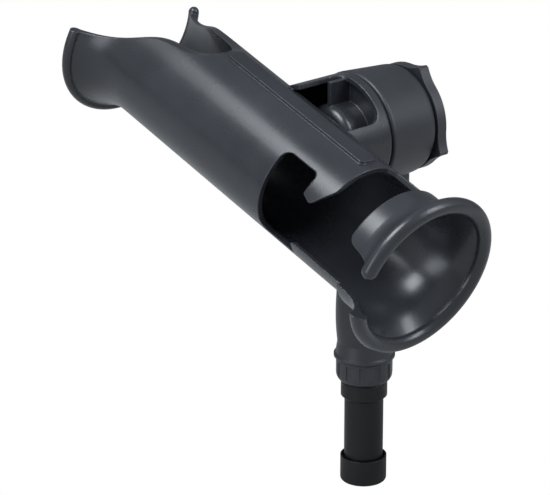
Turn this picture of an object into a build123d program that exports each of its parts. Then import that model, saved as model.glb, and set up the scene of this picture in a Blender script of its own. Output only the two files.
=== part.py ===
from build123d import *
import math
import os

# A tilting, swivelling fishing rod holder on a socket post.
# World frame, millimetres: Z runs up the post, z = 0 is the lower face of the
# swivel nut, which rests on the mouth of the host's socket.  +X points to the
# bell mouth of the cradle, +Y to the tilt knob.

# ---- Post and swivel -------------------------------------------------------
POST_D = 18.5              # shank of the post
LAND_D = 22.0              # the two lands that fill a 7/8 in socket
COLLAR_L = 9.4             # lower edge of the upper land, below the swivel nut
COLLAR_GAP = 0.3           # between the collar and the turning nut
COLLAR_CHAMFER = 1.5       # lead-in at the collar's lower edge
CAP_TOP = -39.1            # top edge of the end cap
CAP_BOTTOM = -51.9         # lowest point of the end cap
CAP_WALL = 1.4             # skirt of the end cap round the shank
CAP_FLOOR = 6.0            # cap material under the end of the shank
CAP_CHAMFER = 1.6
CAP_SOCKET_D = 11.0        # counterbore that sinks the screw head
POST_BORE = 8.0            # core hole up the post, open at the top
HEAD_D = 21.4              # flange on top of the post, held by the nut
HEAD_T = 2.4
HEAD_Z = 3.4               # underside of that flange
END_SCREW_D = 4.0
END_SCREW_L = 14.0
END_SCREW_HEAD_D = 7.6
END_SCREW_HEAD_T = 2.4
END_WASHER_D = 10.4
END_WASHER_T = 1.0

NUT_H = 11.0
NUT_D = 26.8
NUT_FOOT_D = 23.2          # lower end of the nut, where it rounds in to the collar
NUT_ROUND_H = 4.0
NUT_FLOOR = 2.4            # turned-in lip under the post flange
NUT_RIBS = 12
NUT_GROOVE_W = 3.3         # grooves between the ribs of the grip
NUT_CORE_D = 25.4          # floor of those grooves
NUT_RIM_H = 1.0            # plain rim above the grooves
THREAD_D = 22.6            # foot spigot inside the nut
THREAD_PITCH = 2.0
THREAD_DEPTH = 0.7
THREAD_GAP = 0.25          # radial gap that keeps foot and nut threads apart
SLIP_WASHER_T = 0.8
FRICTION_RING_T = 1.0

# ---- Tilt bracket ----------------------------------------------------------
PIVOT_Z = 124.9            # height of the tilt axis
DRUM_FACE_Y = -8.3         # clutch side of the drum
DRUM_BACK_Y = 20.7         # knob side of the drum
DRUM_D = 55.2
DRUM_DRAFT = 2.0           # fall in radius from the clutch side to the knob side
DRUM_BACK_ROUND = 3.5
SEAM_ROUND = 1.4           # rounded edges either side of the open seam
LEG_W = 20.6               # leg, along X, where it leaves the drum
LEG_D = 26.0               # round lower end of the leg
LEG_ROUND = 5.0
FOOT_GAP = 0.4             # from the nut up to the foot flange
FOOT_Z = NUT_H + FOOT_GAP  # underside of the foot flange
FOOT_D = 29.0
FOOT_T = 2.2
FOOT_CONE_H = 6.0          # cone from the flange to the leg
DRUM_RECESS_D = 43.0       # sunk face for the knob
DRUM_RECESS_T = 2.4
CLUTCH_POCKET_D = 48.0     # sunk face of the clutch teeth
CLUTCH_POCKET_T = 5.6

# ---- Tilt clutch, bolt and knob --------------------------------------------
TOOTH_N = 36
TOOTH_H = 1.2
TOOTH_OUT_D = 44.0
TOOTH_IN_D = 25.0
TOOTH_GAP = 0.3            # tips stay this far apart with the knob slackened
CLUTCH_RING_T = 1.6        # toothed ring below its teeth
CRADLE_RING_D = 46.4
JOINT_GAP = 0.4            # open seam between pod and drum
BOLT_D = 8.0
BOLT_HEAD_AF = 13.0
BOLT_HEAD_T = 4.9
BOLT_RUNNING_FIT = 0.06    # radial clearance of the bolt in the bracket
HUB_D = 30.0               # boss inside the pod that carries the bolt
HUB_ROUND = 4.0
HUB_END_Y = -25.5          # end of the boss towards the tube
BOLT_SEAT_Y = -19.4        # floor of the hexagon pocket, where the bolt head bears
BUSH_D = 11.0
KEEPER_D = 11.4            # push-on ring that holds the bolt in the cradle
KEEPER_T = 0.7
WASHER_BORE_GAP = 0.3
SPRING_D = 14.0            # mean coil diameter of the release spring
SPRING_WIRE = 1.6
SPRING_TURNS = 4
SPRING_SEAT_D = 18.4       # pocket for the spring in the drum
SPRING_SEAT_T = 9.0
SPRING_PLATE_T = 1.0
KNOB_TIP_R = 29.8
KNOB_BODY_R = 25.2         # round stretches between the tips
KNOB_TIPS = 4
KNOB_TIP_SPREAD = 21.0     # degrees either side over which a tip rises from the round
KNOB_TIP_BLUNT = 0.8       # cut off the point of each tip
KNOB_FIRST_TIP = -24.0     # degrees from +X towards +Z
KNOB_T = 5.2               # thickness of the tipped rim
KNOB_HUB_D = 30.0
KNOB_HUB_OUT = 13.0        # hub stands out this far from the rim's inner face
KNOB_BOSS_D = 20.0
KNOB_Y = 21.2              # inner face of the knob rim
KNOB_WASHER_T = 1.2
KNOB_WASHER_D = 24.0
SLIDE_RING_T = 1.0
INSERT_D = 13.0
INSERT_L = 11.0
CAP_DISC_D = 22.0
CAP_DISC_T = 1.8

# ---- Cradle: its own frame has the tilt axis on Y through the origin -------
TILT = 17.4                # bell end down, degrees from level
TUBE_DROP = -5.6           # tube axis below the tilt axis
TUBE_SHIFT = 3.3           # where along the tube its own zero lies
TUBE_D = 57.0
DRAWN_TUBE_D = 57.0        # tube size that the openings' heights were drawn for
TUBE_NEAR_Y = -22.0        # side of the tube that faces the post
TUBE_Y = TUBE_NEAR_Y - TUBE_D / 2
TUBE_WALL = 2.5
SADDLE_LIP = -118.5        # along the tube
SADDLE_LIP_RISE = 11.1     # of the saddle lip over the tube's own radius
SADDLE_LIP_R = TUBE_D / 2 + SADDLE_LIP_RISE
SADDLE_END_W = 8.5         # height at which the saddle lip's bead ends
SADDLE_BEAD_R = 2.5        # rolled bead round the saddle lip
SADDLE_FLARE = -91.0       # where the saddle flare begins
BELL_LIP = 97.2
BELL_LIP_RISE = 10.7
BELL_LIP_R = TUBE_D / 2 + BELL_LIP_RISE
BELL_UPPER_END = 2.6       # bead ends, measured across the side opening
BELL_LOWER_END = -19.6
BAND_RISE = 1.9            # raised band behind the bell
BAND_R = TUBE_D / 2 + BAND_RISE
BAND_START = 72.6
BELL_FLARE = 80.5
BOWL_START = 70.0
BELL_BEAD_R = 3.6          # rolled bead round the bell mouth
BELL_UNDERCUT = 1.4        # how far the bowl runs out behind the bead
TOP_LEAN = 4.5             # degrees that the roof and saddle lean towards the knob
ROOF_FRONT = 50.8          # edges of the roof over the tube
WINDOW_BACK = 15.5
NOTCH_FRONT = 37.5
HOOK_END = 43.0
SLOT_LOW_START = 38.2
PULL_ANGLE = 75.0          # direction of the side opening, from the top towards -Y
RIB_W = 9.0                # raised spine along the roof
RIB_BACK = -49.0
RIB_FRONT = 46.0
RIB_H = 1.1
POD_D = 54.4
POD_WALL = 2.4
POD_END_Y = -38.0          # open end of the pod, over the tube
POD_WEB_T = 3.0            # disc that carries the clutch ring
POD_WINDOW_FROM = 42.0     # degrees from the tube direction towards the roof
POD_WINDOW_TO = 116.0
POD_WINDOW_EDGE_Y = -14.0
POD_WINDOW_ROUND = 6.0
POD_RIB_ANGLES = (107.0, 197.0, 287.0, 17.0)
POD_RIB_T = 2.0

os.makedirs("parts", exist_ok=True)


def save(shape, name):
    export_step(shape, f"parts/{name}.step")
    print(f"{name:24s} solids {len(shape.solids()):2d}  volume {shape.volume:10.1f}")


def disc(radius, z0, z1):
    """Cylinder about Z from z0 to z1."""
    return Pos(0, 0, z0) * Cylinder(radius, z1 - z0, align=(Align.CENTER, Align.CENTER, Align.MIN))


def disc_y(radius, y0, y1):
    """Cylinder about Y from y0 to y1, axis through the origin."""
    return Pos(0, y0, 0) * Rot(-90, 0, 0) * disc(radius, 0, y1 - y0)


def cone_y(radius0, radius1, y0, y1):
    """Cone about Y from y0 to y1."""
    cone = Cone(radius0, radius1, y1 - y0, align=(Align.CENTER, Align.CENTER, Align.MIN))
    return Pos(0, y0, 0) * Rot(-90, 0, 0) * cone


def block(x0, x1, y0, y1, z0, z1):
    """Box between two corners."""
    low = (Align.MIN, Align.MIN, Align.MIN)
    return Pos(x0, y0, z0) * Box(x1 - x0, y1 - y0, z1 - z0, align=low)


def spin_profile(points, axis=Axis.Z, plane=Plane.XZ):
    """Solid of revolution of a closed outline."""
    return revolve(plane * make_face(Polyline(*points, close=True)), axis, 360)


def at_pivot(shape):
    return Pos(0, 0, PIVOT_Z) * shape


def in_cradle(shape):
    """Place a shape given in the cradle's frame."""
    return Pos(0, 0, PIVOT_Z) * Rot(0, TILT, 0) * shape


def in_tube(shape):
    """Move a shape from the tube's own axis into the cradle's frame."""
    return Pos(TUBE_SHIFT, TUBE_Y, TUBE_DROP) * shape


# ---- Post -------------------------------------------------------------------
def make_post():
    shank_low = CAP_BOTTOM + CAP_FLOOR
    body = disc(POST_D / 2, shank_low, HEAD_Z + HEAD_T)
    collar = disc(LAND_D / 2, -COLLAR_L, -COLLAR_GAP)
    collar = chamfer(collar.edges().group_by(Axis.Z)[-1], 0.5)
    body += chamfer(collar.edges().group_by(Axis.Z)[0], COLLAR_CHAMFER)
    body += disc(HEAD_D / 2, HEAD_Z, HEAD_Z + HEAD_T)
    body -= disc(POST_BORE / 2, CAP_TOP + 6, HEAD_Z + HEAD_T)
    return body - disc(END_SCREW_D / 2, shank_low, shank_low + END_SCREW_L)


def make_end_cap():
    cap = disc(LAND_D / 2, CAP_BOTTOM, CAP_TOP)
    cap = fillet(cap.edges().group_by(Axis.Z)[0], CAP_CHAMFER)
    cap -= disc(POST_D / 2, CAP_BOTTOM + CAP_FLOOR, CAP_TOP)
    lip_low = CAP_TOP - 2.5
    cap -= disc(LAND_D / 2 - CAP_WALL / 2, lip_low, CAP_TOP)
    cap -= disc(END_SCREW_D / 2, CAP_BOTTOM, CAP_BOTTOM + CAP_FLOOR)
    return cap - disc(CAP_SOCKET_D / 2, CAP_BOTTOM, end_washer_z())


def end_washer_z():
    """Upper face of the end washer, sunk so that the screw head ends flush."""
    return CAP_BOTTOM + END_SCREW_HEAD_T + END_WASHER_T + 0.2


def make_end_cap_washer():
    top = end_washer_z()
    return disc(END_WASHER_D / 2, top - END_WASHER_T, top) - disc(END_SCREW_D / 2, top - END_WASHER_T, top)


def make_end_cap_screw():
    under = end_washer_z() - END_WASHER_T
    head = disc(END_SCREW_HEAD_D / 2, under - END_SCREW_HEAD_T, under)
    head = fillet(head.edges().group_by(Axis.Z)[0], END_SCREW_HEAD_T * 0.6)
    low = under - END_SCREW_HEAD_T
    for turn in (0, 90):
        head -= Rot(0, 0, turn) * block(-2.2, 2.2, -0.5, 0.5, low, low + 1.3)
    return head + disc(END_SCREW_D / 2, under, CAP_BOTTOM + CAP_FLOOR + END_SCREW_L - 2)


# ---- Swivel -----------------------------------------------------------------
def make_swivel_nut():
    nut_r = NUT_D / 2
    outline = [
        Line((0, 0), (NUT_FOOT_D / 2, 0)),
        TangentArc((nut_r, NUT_ROUND_H), (NUT_FOOT_D / 2, 0), tangent=(0, -1)),
        Line((nut_r, NUT_ROUND_H), (nut_r, NUT_H)),
        Line((nut_r, NUT_H), (0, NUT_H)),
        Line((0, NUT_H), (0, 0)),
    ]
    nut = revolve(Plane.XZ * make_face(outline), Axis.Z, 360)
    half_w = NUT_GROOVE_W / 2
    for index in range(NUT_RIBS):
        groove = block(NUT_CORE_D / 2, NUT_D, -half_w, half_w, -1, NUT_H - NUT_RIM_H)
        groove = fillet(groove.edges().group_by(Axis.X)[0].filter_by(Axis.Z), 0.5)
        nut -= Rot(0, 0, 360 / NUT_RIBS * (index + 0.5)) * groove
    nut -= disc(THREAD_D / 2 + THREAD_GAP, NUT_FLOOR, NUT_H)
    return nut - disc(POST_D / 2 + 0.35, 0, NUT_FLOOR)


def make_slip_washer():
    low = HEAD_Z - SLIP_WASHER_T
    return disc(HEAD_D / 2, low, HEAD_Z) - disc(POST_D / 2, low, HEAD_Z)


def make_friction_ring():
    low = HEAD_Z + HEAD_T
    top = low + FRICTION_RING_T
    return disc(HEAD_D / 2, low, top) - disc(POST_BORE / 2 + 1, low, top)


# ---- Bracket ----------------------------------------------------------------
def leg_section(z, mid_y, wide, deep, corner):
    return Plane.XY.offset(z) * Pos(0, mid_y) * RectangleRounded(wide, deep, corner)


def make_leg():
    """Square under the drum, easing down to a round foot over the post axis."""
    depth = DRUM_BACK_Y - DRUM_FACE_Y - 0.6
    mid_y = (DRUM_FACE_Y + DRUM_BACK_Y) / 2
    ankle_z = FOOT_Z + FOOT_T + FOOT_CONE_H
    sections = [
        leg_section(ankle_z, 0, LEG_D - 0.4, LEG_D - 0.4, LEG_D / 2 - 0.3),
        leg_section(ankle_z + 32, mid_y * 0.3, LEG_D, LEG_D, LEG_D / 2 - 3),
        leg_section(PIVOT_Z - 34, mid_y, LEG_W, depth, LEG_ROUND),
        leg_section(PIVOT_Z - 21, mid_y, LEG_W, depth, LEG_ROUND),
        leg_section(PIVOT_Z - 8, mid_y, LEG_W, depth, LEG_ROUND),
    ]
    return loft(sections)


def make_foot():
    ankle_r = LEG_D / 2 - 0.2
    foot = disc(FOOT_D / 2, FOOT_Z, FOOT_Z + FOOT_T)
    foot = fillet(foot.edges().filter_by(GeomType.CIRCLE), 0.7)
    base = (Align.CENTER, Align.CENTER, Align.MIN)
    cone = Cone(FOOT_D / 2 - 0.8, ankle_r, FOOT_CONE_H, align=base)
    low = spigot_low()
    root_r = THREAD_D / 2 - THREAD_DEPTH
    foot += Pos(0, 0, FOOT_Z + FOOT_T) * cone
    foot += disc(root_r, low, FOOT_Z)
    half = THREAD_PITCH * 0.42
    for index in range(int((FOOT_Z - low) / THREAD_PITCH)):
        mid = low + (index + 0.5) * THREAD_PITCH
        foot += spin_profile([(root_r - 0.1, mid - half), (THREAD_D / 2, mid), (root_r - 0.1, mid + half)])
    return foot


def spigot_low():
    """Lower end of the threaded spigot, one running gap above the friction ring."""
    return HEAD_Z + HEAD_T + FRICTION_RING_T + 0.1


def clutch_floor_y():
    """Floor of the pocket in the drum, behind the bracket's toothed ring."""
    return DRUM_FACE_Y + CLUTCH_POCKET_T


def spring_floor_y():
    return clutch_floor_y() + SPRING_SEAT_T


def make_tilt_bracket():
    drum = cone_y(DRUM_D / 2, DRUM_D / 2 - DRUM_DRAFT, DRUM_FACE_Y, DRUM_BACK_Y)
    drum = fillet(drum.edges().filter_by(GeomType.CIRCLE).group_by(Axis.Y)[0], SEAM_ROUND)
    drum = fillet(drum.edges().filter_by(GeomType.CIRCLE).group_by(Axis.Y)[-1], DRUM_BACK_ROUND)
    body = at_pivot(drum) + make_leg() + make_foot()
    seat_y = DRUM_BACK_Y - DRUM_RECESS_T
    body -= at_pivot(disc_y(CLUTCH_POCKET_D / 2, DRUM_FACE_Y, clutch_floor_y()))
    body -= at_pivot(disc_y(DRUM_RECESS_D / 2, seat_y, DRUM_BACK_Y))
    body -= at_pivot(disc_y(SPRING_SEAT_D / 2, clutch_floor_y(), spring_floor_y()))
    return body - at_pivot(disc_y(BUSH_D / 2, spring_floor_y(), seat_y))


def make_bolt_bush():
    low = spring_floor_y()
    high = DRUM_BACK_Y - DRUM_RECESS_T
    return disc_y(BUSH_D / 2, low, high) - disc_y(BOLT_D / 2 + BOLT_RUNNING_FIT, low, high)


# ---- Clutch -----------------------------------------------------------------
def clutch_ring(outer_r, back_y, root_y, direction):
    """Toothed ring; direction is the sign along Y in which its teeth point."""
    inner_r = TOOTH_IN_D / 2 - 1
    low, high = sorted((back_y, root_y))
    ring = disc_y(outer_r, low, high) - disc_y(inner_r, low, high)
    half = math.radians(180 / TOOTH_N) * 0.92
    tip = root_y + direction * TOOTH_H
    buried = root_y - direction * 0.3
    phase = 0.5 if direction > 0 else 0
    faces = []
    for radius in (TOOTH_IN_D / 2, TOOTH_OUT_D / 2):
        reach = radius * math.tan(half)
        plane = Plane(origin=(radius, 0, 0), x_dir=(0, 0, -1), z_dir=(1, 0, 0))
        outline = Polyline((-reach, buried), (reach, buried), (0, tip), close=True)
        faces.append(plane * make_face(outline))
    tooth = loft(faces)
    teeth = [Rot(0, 360 / TOOTH_N * (index + phase), 0) * tooth for index in range(TOOTH_N)]
    return ring + teeth


def bracket_tooth_root():
    return clutch_floor_y() - CLUTCH_RING_T


def cradle_tooth_root():
    return bracket_tooth_root() - 2 * TOOTH_H - TOOTH_GAP


def pod_face_y():
    return DRUM_FACE_Y - JOINT_GAP


def make_bracket_clutch_ring():
    return clutch_ring(CLUTCH_POCKET_D / 2, clutch_floor_y(), bracket_tooth_root(), -1)


def make_cradle_clutch_ring():
    return clutch_ring(CRADLE_RING_D / 2, pod_face_y(), cradle_tooth_root(), 1)


def make_release_spring():
    """Compression spring that lifts the teeth apart when the knob is slackened."""
    low = pod_face_y() + SPRING_WIRE / 2
    high = spring_floor_y() - SPRING_PLATE_T - SPRING_WIRE / 2 - 0.15
    path = Helix((high - low) / SPRING_TURNS, high - low, SPRING_D / 2)
    wire = Plane(origin=path @ 0, z_dir=path % 0) * Circle(SPRING_WIRE / 2)
    return Pos(0, low, 0) * Rot(-90, 0, 0) * sweep(wire, path=path)


def make_spring_plate():
    high = spring_floor_y()
    low = high - SPRING_PLATE_T
    return disc_y(SPRING_SEAT_D / 2, low, high) - disc_y(BOLT_D / 2 + WASHER_BORE_GAP, low, high)


# ---- Cradle -----------------------------------------------------------------
def on_circle(centre, radius, degrees):
    turn = math.radians(degrees)
    return (centre[0] + radius * math.cos(turn), centre[1] + radius * math.sin(turn))


def tube_profile():
    """Closed outline of the tube wall, x along the tube and y the radius."""
    outer = TUBE_D / 2
    inner = outer - TUBE_WALL
    bell_bead = (BELL_LIP - BELL_BEAD_R, BELL_LIP_R - BELL_BEAD_R)
    bell_root = on_circle(bell_bead, BELL_BEAD_R, 140)
    bell_under = on_circle(bell_bead, BELL_BEAD_R, -90)
    bowl_edge = (bell_under[0] - 1.2, BELL_LIP_R - 2 * BELL_BEAD_R + BELL_UNDERCUT)
    saddle_bead = (SADDLE_LIP + SADDLE_BEAD_R, SADDLE_LIP_R - SADDLE_BEAD_R)
    saddle_root = on_circle(saddle_bead, SADDLE_BEAD_R, -18)
    saddle_under = on_circle(saddle_bead, SADDLE_BEAD_R, -90)
    bore_end = SADDLE_FLARE + 3
    edges = [
        Line((SADDLE_FLARE, outer), (BAND_START, outer)),
        Line((BAND_START, outer), (BAND_START, BAND_R)),
        Line((BAND_START, BAND_R), (BELL_FLARE, BAND_R)),
        TangentArc((BELL_FLARE, BAND_R), bell_root, tangent=(1, 0)),
        ThreePointArc(bell_root, on_circle(bell_bead, BELL_BEAD_R, 25), bell_under),
        Line(bell_under, bowl_edge),
        TangentArc((BOWL_START, inner), bowl_edge, tangent=(1, 0)),
        Line((bore_end, inner), (BOWL_START, inner)),
        TangentArc((bore_end, inner), saddle_under, tangent=(-1, 0)),
        ThreePointArc(saddle_under, on_circle(saddle_bead, SADDLE_BEAD_R, 145), saddle_root),
        TangentArc((SADDLE_FLARE, outer), saddle_root, tangent=(-1, 0)),
    ]
    return make_face(edges)


def scaled_points(*points):
    """Points of an opening, with their heights kept in step with the tube's size."""
    return [(along, height * TUBE_D / DRAWN_TUBE_D) for along, height in points]


def side_opening():
    """Straight-pull window, notch, hook and line slot in the near side of the tube."""
    beyond = BELL_LIP + 6
    band_edge = BAND_START - 0.2
    corners = scaled_points(
        (WINDOW_BACK, -23.3),
        (WINDOW_BACK, 16.8),
        (NOTCH_FRONT, 16.8),
        (NOTCH_FRONT, 7.2),
        (HOOK_END, 5.2),
        (ROOF_FRONT, 15.6),
        (ROOF_FRONT, TUBE_D),
        (band_edge, TUBE_D),
        (band_edge, 5.0),
        (87.0, BELL_UPPER_END),
        (beyond, BELL_UPPER_END),
        (beyond, BELL_LOWER_END),
        (88.0, BELL_LOWER_END),
        (78.0, -17.1),
        (SLOT_LOW_START, -17.1),
        (SLOT_LOW_START, -23.3),
    )
    rounds = [4.0, 4.5, 3.0, 1.2, 1.8, 5.0, 1.0, 1.0, 5.0, 3.0, 1.0, 1.0, 4.0, 4.0, 1.2, 1.2]
    outline = FilletPolyline(*corners, radius=rounds, close=True)
    pull = math.radians(PULL_ANGLE)
    outward = (0, -math.sin(pull), math.cos(pull))
    plane = Plane(origin=(0, 0, 0), x_dir=(1, 0, 0), z_dir=outward)
    return extrude(plane * make_face(outline), amount=TUBE_D)


def top_opening():
    """Gap across the top between the roof and the bell band."""
    gap = block(ROOF_FRONT, BAND_START - 0.2, -TUBE_D / 4, TUBE_D / 4, 4, TUBE_D)
    corners = gap.edges().filter_by(Axis.Z).group_by(Axis.Y)[-1]
    return fillet(corners, 4.5)


def saddle_opening():
    """Cut across the tube that leaves the saddle trough and its two horns."""
    end = SADDLE_LIP - 6
    roof_back = -51.0
    top = TUBE_D
    rim = scaled_points(
        (end, SADDLE_END_W),
        (SADDLE_LIP + 4, SADDLE_END_W),
        (-107.5, 9.6),
        (-94.5, 14.6),
        (-82.0, 21.0),
        (-70.0, 23.1),
        (-59.0, 24.8),
        (roof_back, TUBE_D / 2 + 0.4),
    )
    edges = [
        Spline(*rim),
        Line(rim[-1], (roof_back, top)),
        Line((roof_back, top), (end, top)),
        Line((end, top), rim[0]),
    ]
    side = Plane(origin=(0, TUBE_D, 0), x_dir=(1, 0, 0), z_dir=(0, -1, 0))
    return extrude(side * make_face(edges), amount=2 * TUBE_D)


def bead_end(along, lip_r, bead_r, height, side):
    """Rounded end of a rolled bead, at a height above the tube's axis."""
    ring_r = lip_r - bead_r
    scaled = height * TUBE_D / DRAWN_TUBE_D
    out = math.sqrt(ring_r**2 - scaled**2)
    return Pos(along, side * out, scaled) * Sphere(bead_r - 0.04)


def make_tube():
    tube = revolve(tube_profile(), Axis.X, 360)
    spine = block(RIB_BACK, RIB_FRONT, -RIB_W / 2, RIB_W / 2, TUBE_D / 2 - 3, TUBE_D / 2 + RIB_H)
    spine = fillet(spine.edges().filter_by(Axis.Z), 2.5)
    spine -= Rot(0, 90, 0) * Cylinder(TUBE_D / 2 - 1, 200)
    lean = Rot(-TOP_LEAN, 0, 0)
    tube = tube + lean * spine - side_opening() - top_opening() - lean * saddle_opening()
    tube += lean * bead_end(SADDLE_LIP + SADDLE_BEAD_R, SADDLE_LIP_R, SADDLE_BEAD_R, SADDLE_END_W, 1)
    ball = bead_end(BELL_LIP - BELL_BEAD_R, BELL_LIP_R, BELL_BEAD_R, BELL_UPPER_END, -1)
    return tube + Rot(PULL_ANGLE - 90, 0, 0) * ball


def make_pod():
    """Short drum on the side of the tube, with the bolt boss and ribs inside it."""
    pod_r = POD_D / 2
    face_y = pod_face_y()
    pod = disc_y(pod_r, POD_END_Y, face_y)
    pod = fillet(pod.edges().filter_by(GeomType.CIRCLE).group_by(Axis.Y)[-1], SEAM_ROUND)
    pod -= disc_y(pod_r - POD_WALL, POD_END_Y, face_y - POD_WEB_T)
    pod -= pod_window()
    hub = disc_y(HUB_D / 2, HUB_END_Y, face_y - 0.5)
    pod += fillet(hub.edges().filter_by(GeomType.CIRCLE).group_by(Axis.Y)[0], HUB_ROUND)
    for angle in POD_RIB_ANGLES:
        rib = block(HUB_D / 2 - 2, pod_r - 1, HUB_END_Y + 2, face_y - 1, -POD_RIB_T / 2, POD_RIB_T / 2)
        pod += Rot(0, -angle, 0) * rib
    return pod - in_tube(Rot(0, 90, 0) * Cylinder(TUBE_D / 2 - 0.5, 400))


def pod_window():
    """Opening in the pod's skin, from its open end to the band beside the drum."""
    skin_r = POD_D / 2 - POD_WALL
    outline = Polyline(
        (skin_r - 0.05, POD_END_Y - 1),
        (POD_D / 2 + 2, POD_END_Y - 1),
        (POD_D / 2 + 2, POD_WINDOW_EDGE_Y),
        (skin_r - 0.05, POD_WINDOW_EDGE_Y),
        close=True,
    )
    sweep_angle = POD_WINDOW_TO - POD_WINDOW_FROM
    sector = revolve(make_face(outline), Axis((0, 0, 0), (0, -1, 0)), sweep_angle)
    ends = sector.edges().filter_by(GeomType.LINE).group_by(Axis.Y)[-1]
    return Rot(0, -POD_WINDOW_FROM, 0) * fillet(ends, POD_WINDOW_ROUND)


def make_cradle_tube():
    solid = make_pod() + in_tube(make_tube())
    solid -= disc_y(BOLT_D / 2, TUBE_Y, 0)
    pocket = Plane.XZ.offset(-BOLT_SEAT_Y) * RegularPolygon(BOLT_HEAD_AF / math.sqrt(3), 6)
    return solid - extrude(pocket, amount=TUBE_D / 3)


# ---- Bolt and knob ----------------------------------------------------------
def make_tilt_bolt():
    seat = Plane.XZ.offset(-BOLT_SEAT_Y)
    head = extrude(seat * RegularPolygon(BOLT_HEAD_AF / math.sqrt(3), 6), amount=BOLT_HEAD_T)
    shank = disc_y(BOLT_D / 2, BOLT_SEAT_Y, KNOB_Y + INSERT_L - 1)
    return head + chamfer(shank.edges().filter_by(GeomType.CIRCLE).group_by(Axis.Y)[-1], 0.8)


def make_bolt_keeper():
    low = pod_face_y()
    return disc_y(KEEPER_D / 2, low, low + KEEPER_T) - disc_y(BOLT_D / 2, low, low + KEEPER_T)


def make_slide_ring():
    low = DRUM_BACK_Y - DRUM_RECESS_T
    high = low + SLIDE_RING_T
    return disc_y(KNOB_WASHER_D / 2, low, high) - disc_y(BOLT_D / 2 + WASHER_BORE_GAP, low, high)


def make_knob_washer():
    low = DRUM_BACK_Y - DRUM_RECESS_T + SLIDE_RING_T
    high = low + KNOB_WASHER_T
    return disc_y(KNOB_WASHER_D / 2, low, high) - disc_y(BOLT_D / 2 + WASHER_BORE_GAP, low, high)


def knob_boss_y():
    """Inner end of the knob, just clear of its washer."""
    return DRUM_BACK_Y - DRUM_RECESS_T + SLIDE_RING_T + KNOB_WASHER_T + 0.1


def knob_cap_y():
    return KNOB_Y + KNOB_HUB_OUT - CAP_DISC_T


def make_tilt_knob():
    spread = math.radians(KNOB_TIP_SPREAD)
    left = on_circle((0, 0), KNOB_BODY_R, KNOB_TIP_SPREAD)
    right = on_circle((0, 0), KNOB_BODY_R, -KNOB_TIP_SPREAD)
    point = (KNOB_TIP_R, 0)
    sides = [
        Line((0, 0), right),
        TangentArc(right, point, tangent=(math.sin(spread), math.cos(spread))),
        TangentArc(left, point, tangent=(math.sin(spread), -math.cos(spread))),
        Line(left, (0, 0)),
    ]
    tip = make_face(sides) - Pos(KNOB_TIP_R - KNOB_TIP_BLUNT + 5, 0) * Rectangle(10, 10)
    outline = Circle(KNOB_BODY_R)
    for index in range(KNOB_TIPS):
        outline += Rot(0, 0, KNOB_FIRST_TIP + 360 / KNOB_TIPS * index) * tip
    back = Plane(origin=(0, KNOB_Y, 0), x_dir=(1, 0, 0), z_dir=(0, -1, 0))
    rim = extrude(back * outline, amount=-KNOB_T)
    hub = disc_y(KNOB_HUB_D / 2, KNOB_Y, KNOB_Y + KNOB_HUB_OUT)
    knob = rim + fillet(hub.edges().filter_by(GeomType.CIRCLE).group_by(Axis.Y)[-1], 1.5)
    low = knob_boss_y()
    knob += disc_y(KNOB_BOSS_D / 2, low, KNOB_Y + 0.5)
    knob -= disc_y(INSERT_D / 2, low, low + INSERT_L)
    knob -= disc_y(BOLT_D / 2 + 0.5, low, knob_cap_y())
    return knob - disc_y(CAP_DISC_D / 2, knob_cap_y(), KNOB_Y + KNOB_HUB_OUT)


def make_knob_insert():
    low = knob_boss_y()
    bore = disc_y(BOLT_D / 2 + BOLT_RUNNING_FIT, low, low + INSERT_L)
    return disc_y(INSERT_D / 2, low, low + INSERT_L) - bore


def make_knob_cap():
    cap = disc_y(CAP_DISC_D / 2, knob_cap_y(), KNOB_Y + KNOB_HUB_OUT)
    return fillet(cap.edges().filter_by(GeomType.CIRCLE).group_by(Axis.Y)[-1], 0.5)


POST_PARTS = {
    "post": make_post,
    "end_cap": make_end_cap,
    "end_cap_washer": make_end_cap_washer,
    "end_cap_screw": make_end_cap_screw,
    "friction_ring": make_friction_ring,
    "slip_washer": make_slip_washer,
    "swivel_nut": make_swivel_nut,
    "tilt_bracket": make_tilt_bracket,
}
PIVOT_PARTS = {
    "bracket_clutch_ring": make_bracket_clutch_ring,
    "bolt_bush": make_bolt_bush,
    "spring_plate": make_spring_plate,
    "slide_ring": make_slide_ring,
    "knob_washer": make_knob_washer,
    "tilt_knob": make_tilt_knob,
    "knob_insert": make_knob_insert,
    "knob_cap": make_knob_cap,
}
CRADLE_PARTS = {
    "cradle_tube": make_cradle_tube,
    "cradle_clutch_ring": make_cradle_clutch_ring,
    "release_spring": make_release_spring,
    "tilt_bolt": make_tilt_bolt,
    "bolt_keeper": make_bolt_keeper,
}

for name, make in POST_PARTS.items():
    save(make(), name)
for name, make in PIVOT_PARTS.items():
    save(at_pivot(make()), name)
for name, make in CRADLE_PARTS.items():
    save(in_cradle(make()), name)
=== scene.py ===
import math

import bpy
from mathutils import Matrix, Vector


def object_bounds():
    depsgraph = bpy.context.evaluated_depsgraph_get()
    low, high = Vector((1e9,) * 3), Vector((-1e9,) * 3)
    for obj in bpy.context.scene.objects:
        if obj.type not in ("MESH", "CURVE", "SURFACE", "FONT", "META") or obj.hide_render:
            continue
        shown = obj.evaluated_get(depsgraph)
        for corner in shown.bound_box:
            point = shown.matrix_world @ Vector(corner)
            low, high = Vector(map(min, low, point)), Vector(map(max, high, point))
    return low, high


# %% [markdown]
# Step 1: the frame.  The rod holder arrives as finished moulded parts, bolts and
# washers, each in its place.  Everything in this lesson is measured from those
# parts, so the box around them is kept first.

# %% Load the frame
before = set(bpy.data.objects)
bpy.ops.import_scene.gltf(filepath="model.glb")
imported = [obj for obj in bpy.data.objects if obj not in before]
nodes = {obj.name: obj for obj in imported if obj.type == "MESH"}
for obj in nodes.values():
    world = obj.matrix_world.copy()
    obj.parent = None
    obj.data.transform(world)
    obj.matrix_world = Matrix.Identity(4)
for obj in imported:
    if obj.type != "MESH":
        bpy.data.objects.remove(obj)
box_at_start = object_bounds()
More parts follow.
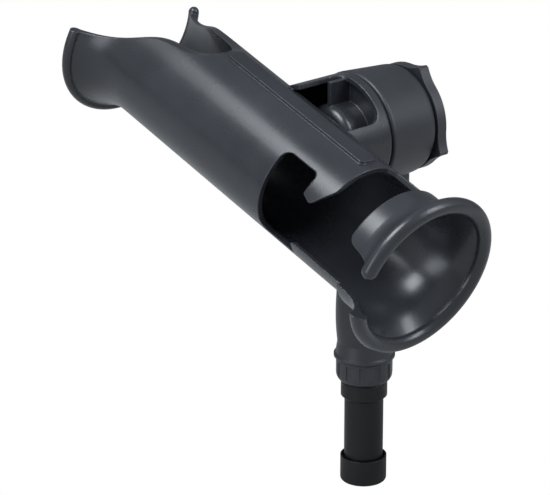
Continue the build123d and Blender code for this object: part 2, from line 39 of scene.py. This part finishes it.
size_mm = [round(1000 * side) for side in box_at_start[1] - box_at_start[0]]
print("frame box, mm:", size_mm)

# %% [markdown]
# Step 2: helpers.  A finish on a moulded part is a chain of small shader nodes.
# Three short helpers keep the chains readable: one adds a node, one joins two
# sockets, and one opens a fresh material with its Principled shader in place.

# %% Node helpers
def add(tree, kind, label, **settings):
    """Add a shader node by its type, name it and set its plain properties."""
    node = tree.nodes.new(kind)
    node.name = node.label = label
    for key, value in settings.items():
        setattr(node, key, value)
    return node


def join(tree, source, target):
    """Join an output socket to an input socket."""
    tree.links.new(source, target)


def preset(node, **values):
    """Set inputs of a node by socket name; spaces are written as underscores."""
    for key, value in values.items():
        node.inputs[key.replace("_", " ")].default_value = value


def open_material(name):
    """New material with an empty Principled shader; returns material, tree and shader."""
    material = bpy.data.materials.new(name)
    material.use_nodes = True
    tree = material.node_tree
    return material, tree, tree.nodes["Principled BSDF"]


print("helpers ready")

# %% [markdown]
# Step 3: shared effects.  Injection-moulded nylon shows a fine spark-eroded grain
# and soft cloudy patches where the melt flowed, and its rounded edges get a painted
# highlight that is a little lighter, in patches.
# Each effect is used by several finishes, so each is one node group with named
# inputs, built once.  Groups give out values only; the shaders stay outside.

# %% Moulded grain group
def start_group(name, inputs, outputs):
    """Open a node group with float or vector sockets; returns it with its ends."""
    group = bpy.data.node_groups.new(name, "ShaderNodeTree")
    for label, kind, value in inputs:
        socket = group.interface.new_socket(label, in_out="INPUT", socket_type=kind)
        if value is not None:
            socket.default_value = value
    for label, kind in outputs:
        group.interface.new_socket(label, in_out="OUTPUT", socket_type=kind)
    return group, add(group, "NodeGroupInput", "in"), add(group, "NodeGroupOutput", "out")


def scaled_noise(tree, label, vector, scale, detail, roughness):
    """Noise texture read at a scale that may be a socket or a number."""
    noise = add(tree, "ShaderNodeTexNoise", label)
    preset(noise, Detail=detail, Roughness=roughness)
    join(tree, vector, noise.inputs["Vector"])
    if isinstance(scale, (int, float)):
        noise.inputs["Scale"].default_value = scale
    else:
        join(tree, scale, noise.inputs["Scale"])
    return noise.outputs["Fac"]


def build_moulded_grain():
    """Height of the spark-eroded grain, and cloudy flow tone from 0 to 1."""
    group, given, made = start_group(
        "moulded_grain",
        [("Position", "NodeSocketVector", None), ("Grain per metre", "NodeSocketFloat", 2600.0),
         ("Cloud per metre", "NodeSocketFloat", 28.0)],
        [("Height", "NodeSocketFloat"), ("Tone", "NodeSocketFloat")],
    )
    where = given.outputs["Position"]
    height = scaled_noise(group, "eroded grain", where, given.outputs["Grain per metre"], 3.0, 0.6)
    cloud = scaled_noise(group, "flow cloud", where, given.outputs["Cloud per metre"], 4.0, 0.55)
    stretch = add(group, "ShaderNodeMapRange", "stretch cloud", clamp=True)
    preset(stretch, From_Min=0.32, From_Max=0.68)
    join(group, cloud, stretch.inputs["Value"])
    join(group, height, made.inputs["Height"])
    join(group, stretch.outputs["Result"], made.inputs["Tone"])
    return group


moulded_grain = build_moulded_grain()
print("group", moulded_grain.name, "inputs", [s.name for s in moulded_grain.interface.items_tree])

# %% Painted edge highlight group
def build_painted_edge_highlight():
    """Mask of corners for a painted highlight: where the rounded normal leaves the true one, broken
    up by noise.
    """
    group, given, made = start_group(
        "painted_edge_highlight",
        [("Position", "NodeSocketVector", None), ("Rounded normal", "NodeSocketVector", None)],
        [("Mask", "NodeSocketFloat")],
    )
    true_normal = add(group, "ShaderNodeNewGeometry", "surface")
    match = add(group, "ShaderNodeVectorMath", "match", operation="DOT_PRODUCT")
    join(group, given.outputs["Rounded normal"], match.inputs[0])
    join(group, true_normal.outputs["Normal"], match.inputs[1])
    edge = add(group, "ShaderNodeMapRange", "edge", clamp=True)
    preset(edge, From_Min=0.999, From_Max=0.90, To_Min=0.0, To_Max=1.0)
    join(group, match.outputs["Value"], edge.inputs["Value"])
    patches = scaled_noise(group, "patches", given.outputs["Position"], 240.0, 5.0, 0.7)
    highlight_share = add(group, "ShaderNodeMapRange", "highlight share", clamp=True)
    preset(highlight_share, From_Min=0.35, From_Max=0.65, To_Min=0.25, To_Max=1.0)
    join(group, patches, highlight_share.inputs["Value"])
    both = add(group, "ShaderNodeMath", "both", operation="MULTIPLY")
    join(group, edge.outputs["Result"], both.inputs[0])
    join(group, highlight_share.outputs["Result"], both.inputs[1])
    join(group, both.outputs["Value"], made.inputs["Mask"])
    return group


painted_edge_highlight = build_painted_edge_highlight()
print("group", painted_edge_highlight.name)

# %% Handling marks group
def build_handling_marks():
    """Long faint scratches and rubbed patches, as a value from 0 to 1."""
    group, given, made = start_group(
        "handling_marks",
        [("Position", "NodeSocketVector", None), ("Along", "NodeSocketVector", (30.0, 420.0, 420.0))],
        [("Marks", "NodeSocketFloat")],
    )
    stretch = add(group, "ShaderNodeVectorMath", "stretch", operation="MULTIPLY")
    join(group, given.outputs["Position"], stretch.inputs[0])
    join(group, given.outputs["Along"], stretch.inputs[1])
    fine = scaled_noise(group, "fine lines", stretch.outputs["Vector"], 1.0, 6.0, 0.75)
    line = add(group, "ShaderNodeMapRange", "thin the lines", clamp=True)
    preset(line, From_Min=0.62, From_Max=0.74)
    join(group, fine, line.inputs["Value"])
    patch = scaled_noise(group, "where handled", given.outputs["Position"], 34.0, 3.0, 0.5)
    zone = add(group, "ShaderNodeMapRange", "zone", clamp=True)
    preset(zone, From_Min=0.45, From_Max=0.62)
    join(group, patch, zone.inputs["Value"])
    both = add(group, "ShaderNodeMath", "both", operation="MULTIPLY")
    join(group, line.outputs["Result"], both.inputs[0])
    join(group, zone.outputs["Result"], both.inputs[1])
    join(group, both.outputs["Value"], made.inputs["Marks"])
    return group


handling_marks = build_handling_marks()
print("group", handling_marks.name)

# %% [markdown]
# Step 4: the moulded plastics.  The tube, bracket, nut, knob and post are glass-filled
# nylon of one charcoal; the post and end cap get a much darker copy of it, painted
# shade.  The satin shine comes from a middling roughness, lowered where the melt ran
# smooth and raised in rubbed places, over a very shallow grain.  A bevel normal
# softens the sharp corners as moulding does.

# %% Plastic finish
def use_group(tree, group, label, position, **values):
    """Place a shared group in a material and feed it the position."""
    node = add(tree, "ShaderNodeGroup", label, node_tree=group)
    join(tree, position, node.inputs["Position"])
    preset(node, **values)
    return node


scuff_roughness = 0.12
grain_strength = 0.35


def make_plastic(name, dark, light, edge_highlight, rough_low, rough_high, grain_depth, edge_mm,
                 grain=2600.0, specular=0.40):
    """Satin moulded plastic: two close tones, a painted edge-highlight tone, grain and marks."""
    material, tree, shader = open_material(name)
    position = add(tree, "ShaderNodeTexCoord", "position").outputs["Object"]
    rounded = add(tree, "ShaderNodeBevel", "rounded corners", samples=6)
    rounded.inputs["Radius"].default_value = edge_mm / 1000
    texture = use_group(tree, moulded_grain, "grain", position, Grain_per_metre=grain)
    edges = use_group(tree, painted_edge_highlight, "edges", position)
    marks = use_group(tree, handling_marks, "marks", position)
    join(tree, rounded.outputs["Normal"], edges.inputs["Rounded normal"])

    tone = add(tree, "ShaderNodeMix", "flow tone", data_type="RGBA")
    tone.inputs["A"].default_value = (*dark, 1)
    tone.inputs["B"].default_value = (*light, 1)
    join(tree, texture.outputs["Tone"], tone.inputs["Factor"])
    # Painted highlight: the rounded edges are mixed towards the lighter grey.
    colour = add(tree, "ShaderNodeMix", "painted edge highlight tone", data_type="RGBA")
    colour.inputs["B"].default_value = (*edge_highlight, 1)
    join(tree, edges.outputs["Mask"], colour.inputs["Factor"])
    join(tree, tone.outputs["Result"], colour.inputs["A"])
    join(tree, colour.outputs["Result"], shader.inputs["Base Color"])

    gloss = add(tree, "ShaderNodeMapRange", "gloss")
    preset(gloss, To_Min=rough_low, To_Max=rough_high)
    join(tree, texture.outputs["Tone"], gloss.inputs["Value"])
    scuffed = add(tree, "ShaderNodeMath", "scuffed gloss", operation="MULTIPLY_ADD", use_clamp=True)
    scuffed.inputs[1].default_value = scuff_roughness
    join(tree, marks.outputs["Marks"], scuffed.inputs[0])
    join(tree, gloss.outputs["Result"], scuffed.inputs[2])
    join(tree, scuffed.outputs["Value"], shader.inputs["Roughness"])

    relief = add(tree, "ShaderNodeBump", "relief")
    preset(relief, Strength=grain_strength, Distance=grain_depth / 1000)
    join(tree, texture.outputs["Height"], relief.inputs["Height"])
    join(tree, rounded.outputs["Normal"], relief.inputs["Normal"])
    join(tree, relief.outputs["Normal"], shader.inputs["Normal"])
    preset(shader, IOR=1.53, Specular_IOR_Level=specular)
    return material


# Flow tones dark and light, then the lighter grey of the painted edge highlight.
charcoal = (0.0150, 0.0162, 0.0196)
charcoal_light = (0.0205, 0.0218, 0.0262)
painted_highlight_grey = (0.045, 0.048, 0.055)
charcoal_tones = (charcoal, charcoal_light, painted_highlight_grey)
# Post and end cap: the same charcoal painted much darker, as shade.
post_tones_painted_shade = ((0.0028, 0.0030, 0.0035), (0.0042, 0.0044, 0.0050), (0.012, 0.013, 0.014))
cradle_finish = make_plastic("cradle_nylon", *charcoal_tones, 0.24, 0.32, 0.02, 0.9)
bracket_finish = make_plastic("bracket_nylon", *charcoal_tones, 0.38, 0.48, 0.03, 0.8)
knob_finish = make_plastic("knob_nylon", *charcoal_tones, 0.36, 0.46, 0.04, 0.6, grain=2000.0)
post_finish_painted_shade = make_plastic("post_nylon_painted_shade", *post_tones_painted_shade, 0.38, 0.50, 0.03, 0.5, specular=0.25)
nut_finish = make_plastic("nut_nylon", *charcoal_tones, 0.34, 0.46, 0.03, 0.5)
print("plastics made:", [m.name for m in bpy.data.materials])

# %% [markdown]
# Step 5: the metals and small parts.  Washers, spring and bolt are stainless
# steel, turned or drawn, so their lines run round them; the insert is turned
# brass; the rings that slide are pale acetal, and the friction disc is rubber.

# %% Metal finish
def make_metal(name, tint, rough, line_size, line_depth):
    """Turned or drawn metal with fine lines in its gloss and relief."""
    material, tree, shader = open_material(name)
    position = add(tree, "ShaderNodeTexCoord", "position").outputs["Object"]
    squash = add(tree, "ShaderNodeVectorMath", "round the axis", operation="MULTIPLY")
    squash.inputs[1].default_value = line_size
    join(tree, position, squash.inputs[0])
    lines = scaled_noise(tree, "tool lines", squash.outputs["Vector"], 1.0, 5.0, 0.6)
    stain = scaled_noise(tree, "tarnish", position, 160.0, 4.0, 0.6)
    colour = add(tree, "ShaderNodeMix", "tarnish tone", data_type="RGBA")
    colour.inputs["A"].default_value = (*tint, 1)
    colour.inputs["B"].default_value = (*[c * 0.72 for c in tint], 1)
    join(tree, stain, colour.inputs["Factor"])
    join(tree, colour.outputs["Result"], shader.inputs["Base Color"])
    gloss = add(tree, "ShaderNodeMapRange", "gloss")
    preset(gloss, To_Min=rough * 0.75, To_Max=rough * 1.35)
    join(tree, lines, gloss.inputs["Value"])
    join(tree, gloss.outputs["Result"], shader.inputs["Roughness"])
    relief = add(tree, "ShaderNodeBump", "relief")
    preset(relief, Strength=0.3, Distance=line_depth / 1000)
    join(tree, lines, relief.inputs["Height"])
    join(tree, relief.outputs["Normal"], shader.inputs["Normal"])
    shader.inputs["Metallic"].default_value = 1.0
    return material


steel_finish = make_metal("stainless_steel", (0.56, 0.57, 0.58), 0.28, (900.0, 2600.0, 900.0), 0.02)
brass_finish = make_metal("turned_brass", (0.76, 0.56, 0.26), 0.25, (700.0, 3000.0, 700.0), 0.02)
print("metals made")

# %% Rings and rubber
# Each set ends with the lighter grey of the painted edge highlight.
acetal_tones = ((0.56, 0.55, 0.50), (0.64, 0.63, 0.59), (0.72, 0.71, 0.68))
clutch_tones = ((0.035, 0.036, 0.039), (0.046, 0.047, 0.05), (0.12, 0.12, 0.125))
rubber_tones = ((0.012, 0.012, 0.012), (0.019, 0.019, 0.019), (0.04, 0.04, 0.04))
acetal_finish = make_plastic("pale_acetal", *acetal_tones, 0.28, 0.38, 0.02, 0.2)
clutch_finish = make_plastic("toothed_nylon", *clutch_tones, 0.32, 0.42, 0.03, 0.2)
rubber_finish = make_plastic("friction_rubber", *rubber_tones, 0.65, 0.80, 0.06, 0.2, grain=1500.0)
print("small finishes made")

# %% [markdown]
# Step 6: dress the parts.  Each part keeps its shape and only gets its finish,
# so a table of part names and finishes is the clearest way to say which is which.

# %% Dress the parts
finishes = {
    "cradle_tube": cradle_finish,
    "tilt_bracket": bracket_finish,
    "tilt_knob": knob_finish,
    "knob_cap": knob_finish,
    "post": post_finish_painted_shade,
    "end_cap": post_finish_painted_shade,
    "swivel_nut": nut_finish,
    "cradle_clutch_ring": clutch_finish,
    "bracket_clutch_ring": clutch_finish,
    "bolt_bush": acetal_finish,
    "slide_ring": acetal_finish,
    "slip_washer": acetal_finish,
    "friction_ring": rubber_finish,
    "tilt_bolt": steel_finish,
    "bolt_keeper": steel_finish,
    "release_spring": steel_finish,
    "spring_plate": steel_finish,
    "knob_washer": steel_finish,
    "end_cap_washer": steel_finish,
    "end_cap_screw": steel_finish,
    "knob_insert": brass_finish,
}
for name, finish in finishes.items():
    nodes[name].data.materials.clear()
    nodes[name].data.materials.append(finish)
print("dressed", len(finishes), "of", len(nodes), "parts")

# %% [markdown]
# Step 7: the studio.  The part stands on a pale sweep, in soft light from a big
# panel above and to the left.  A weaker panel on the right draws the streaks down
# the bell, and a third fills the tube's side from the left.  The curved sweep has
# no horizon line where the camera looks, so it reads as plain there.

# %% Floor
low, high = box_at_start
floor_gap = 0.0005
floor_z = low.z - floor_gap


def make_sweep(width, front, back, rise):
    """Floor that curves up into a backdrop behind the part."""
    bend, bend_steps = 0.9, 16
    profile = [(-front, 0.0), (back - bend, 0.0)]
    for step in range(1, bend_steps + 1):
        angle = math.pi / 2 * step / bend_steps
        profile.append((back - bend + bend * math.sin(angle), bend - bend * math.cos(angle)))
    profile.append((back, rise))
    verts = [(side * width / 2, along, up) for along, up in profile for side in (-1, 1)]
    faces = [(2 * i, 2 * i + 1, 2 * i + 3, 2 * i + 2) for i in range(len(profile) - 1)]
    mesh = bpy.data.meshes.new("sweep")
    mesh.from_pydata(verts, [], faces)
    mesh.polygons.foreach_set("use_smooth", [True] * len(mesh.polygons))
    return bpy.data.objects.new("studio_sweep", mesh)


view_azimuth = math.radians(49.15)
sweep = make_sweep(14.0, 6.0, 4.5, 5.0)
sweep.matrix_world = Matrix.Translation((0, 0, floor_z)) @ Matrix.Rotation(view_azimuth, 4, "Z")
bpy.context.scene.collection.objects.link(sweep)
paper, paper_tree, paper_shader = open_material("backdrop_paper")
paper_position = add(paper_tree, "ShaderNodeTexCoord", "position").outputs["Object"]
paper_fibre = scaled_noise(paper_tree, "fibre", paper_position, 60.0, 4.0, 0.6)
paper_tone = add(paper_tree, "ShaderNodeMix", "paper tone", data_type="RGBA")
paper_tone.inputs["A"].default_value = (0.38, 0.38, 0.38, 1)
paper_tone.inputs["B"].default_value = (0.42, 0.42, 0.42, 1)
join(paper_tree, paper_fibre, paper_tone.inputs["Factor"])
join(paper_tree, paper_tone.outputs["Result"], paper_shader.inputs["Base Color"])
paper_shader.inputs["Roughness"].default_value = 0.9
paper_glow = add(paper_tree, "ShaderNodeEmission", "overexposed white")
preset(paper_glow, Color=(1, 1, 1, 1), Strength=1.0)
paper_path = add(paper_tree, "ShaderNodeLightPath", "path")
paper_pick = add(paper_tree, "ShaderNodeMixShader", "white to the eye, grey to the part")
join(paper_tree, paper_path.outputs["Is Camera Ray"], paper_pick.inputs[0])
join(paper_tree, paper_shader.outputs["BSDF"], paper_pick.inputs[1])
join(paper_tree, paper_glow.outputs["Emission"], paper_pick.inputs[2])
join(paper_tree, paper_pick.outputs["Shader"], paper_tree.nodes["Material Output"].inputs["Surface"])
sweep.data.materials.append(paper)
print("floor at, mm:", round(1000 * floor_z, 1))

# %% Lights
def make_panel(name, direction, distance, width, height, power):
    """Soft rectangular light that faces the middle of the part."""
    middle = (low + high) / 2
    lamp = bpy.data.lights.new(name, "AREA")
    lamp.shape = "RECTANGLE"
    lamp.size, lamp.size_y = width, height
    lamp.energy = power
    lamp.color = cool_light
    holder = bpy.data.objects.new(name, lamp)
    holder.location = middle + Vector(direction).normalized() * distance
    holder.rotation_euler = (-Vector(direction)).to_track_quat("-Z", "Y").to_euler()
    bpy.context.scene.collection.objects.link(holder)
    return holder


cool_light = (0.90, 0.95, 1.0)
view_right = Vector((math.cos(view_azimuth), math.sin(view_azimuth), 0))
view_back = Vector((math.sin(view_azimuth), -math.cos(view_azimuth), 0))
straight_up = Vector((0, 0, 1))
make_panel("key_panel", -0.45 * view_right + 0.35 * view_back + 1.0 * straight_up, 1.5, 0.9, 0.7, 27)
make_panel("side_panel", 1.0 * view_right + 0.35 * view_back + 0.75 * straight_up, 1.4, 0.30, 1.0, 11)
make_panel("front_panel", -1.0 * view_right + 0.9 * view_back + 0.25 * straight_up, 1.8, 0.6, 1.2, 10)
world = bpy.data.worlds.new("studio")
world.use_nodes = True
world.node_tree.nodes["Background"].inputs["Color"].default_value = (*cool_light, 1)
world.node_tree.nodes["Background"].inputs["Strength"].default_value = 0.55
bpy.context.scene.world = world
bpy.context.scene.view_settings.view_transform = "Standard"
print("lights set")

# %% [markdown]
# Step 8: the camera.  A long lens from well back keeps the tube's far end from
# shrinking.  The view looks down on the part from the bell-mouth side.

# %% Camera
view_elevation = math.radians(20.4)
view_distance = 1.5
view_centre = Vector((-0.0438, -0.0178, 0.0577))
towards_camera = Vector((
    math.sin(view_azimuth) * math.cos(view_elevation),
    -math.cos(view_azimuth) * math.cos(view_elevation),
    math.sin(view_elevation),
))
lens = bpy.data.cameras.new("camera")
lens.sensor_width = 36.0
lens.lens = 207.8
camera = bpy.data.objects.new("camera", lens)
camera.location = view_centre + towards_camera * view_distance
camera.rotation_euler = (-towards_camera).to_track_quat("-Z", "Y").to_euler()
lens.clip_start, lens.clip_end = 0.05, 50
bpy.context.scene.collection.objects.link(camera)
bpy.context.scene.camera = camera
print("camera at", [round(c, 3) for c in camera.location])
